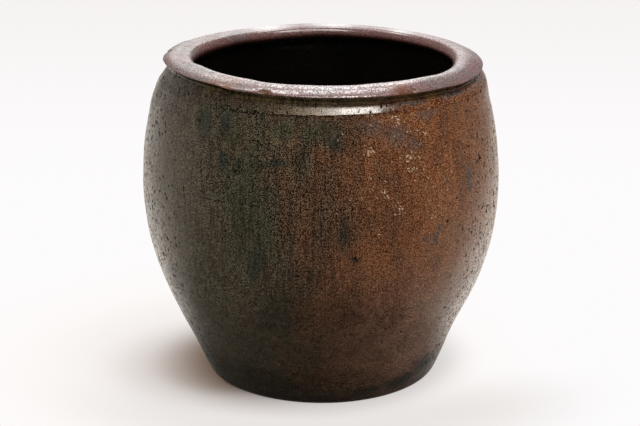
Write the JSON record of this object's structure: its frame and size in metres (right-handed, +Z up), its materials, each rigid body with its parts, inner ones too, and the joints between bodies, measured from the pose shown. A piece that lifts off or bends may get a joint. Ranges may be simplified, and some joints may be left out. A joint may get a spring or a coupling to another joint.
{
  "type": "crock",
  "caption": "Big-bellied hand-built stoneware crock with a straight flared foot, an undercut flat rim and an open mouth, for keeping water, grain or pickles.",
  "frame": {"origin": "centre of the flat underside that the crock stands on", "axes": "+Z up along the axis of the pot, towards the mouth; -Y is the side that the picture shows"},
  "size_m": [0.3974, 0.3974, 0.361],
  "materials": {
    "bare_clay": "matt unglazed stoneware, brick red to mauve brown",
    "inside_glaze": "glossy black-brown glaze",
    "ash_glaze": "satin wood-ash glaze, rust brown to olive black, speckled and pitted",
    "rim_glaze": "smooth wiped glaze, mauve brown, glossy"
  },
  "bodies": {
    "root": {"floor_slab": "bare_clay", "corner_coil": "inside_glaze", "foot_course": "ash_glaze", "lower_wall_course": "ash_glaze", "belly_course": "ash_glaze", "shoulder_course": "ash_glaze", "rim_coil": "rim_glaze"}
  },
  "joints": []
}
